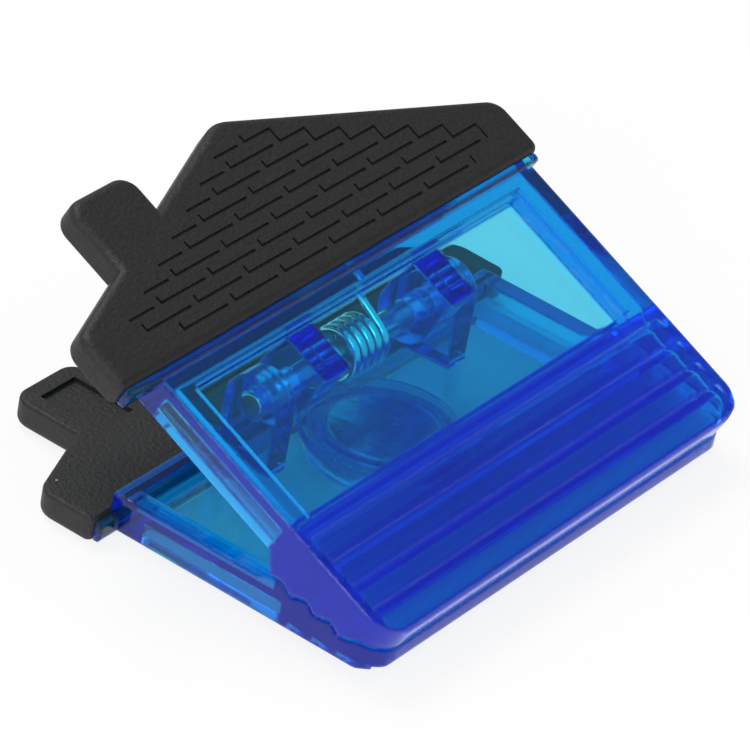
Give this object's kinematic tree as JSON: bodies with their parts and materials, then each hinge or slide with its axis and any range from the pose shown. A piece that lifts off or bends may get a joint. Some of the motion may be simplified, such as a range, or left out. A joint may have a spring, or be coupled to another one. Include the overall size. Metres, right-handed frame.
{
  "type": "magnetic memo clip",
  "caption": "House-shaped spring memo clip: clear toothed jaws, gabled grips, steel pin, torsion spring and a magnet in the back jaw.",
  "frame": {"origin": "middle of the magnet's outer face, on the plane the clip rests on", "axes": "+X along the hinge pin, +Y from the jaws to the roof, +Z from the magnet's face up through the clip"},
  "size_m": [0.0723, 0.053, 0.0295],
  "materials": {
    "clear_blue": "polished, translucent",
    "black_grip": "fine matte",
    "spring_steel": "drawn wire",
    "magnet_plate": "nickel plated"
  },
  "bodies": {
    "back_half": {"back_jaw": "clear_blue", "back_roof": "black_grip", "hinge_pin": "spring_steel", "torsion_spring": "spring_steel", "magnet": "magnet_plate"},
    "front_half": {"front_jaw": "clear_blue", "front_roof": "black_grip"}
  },
  "joints": [
    {"name": "jaw_hinge", "type": "hinge", "parent": "back_half", "child": "front_half", "pos_m": [0.0008, 0.006, 0.0107], "axis": [-1, 0, 0], "range_deg": [0, 50], "stiffness_Nm_per_rad": 0.08, "springref_deg": -85.94, "deforming": ["torsion_spring"]}
  ]
}
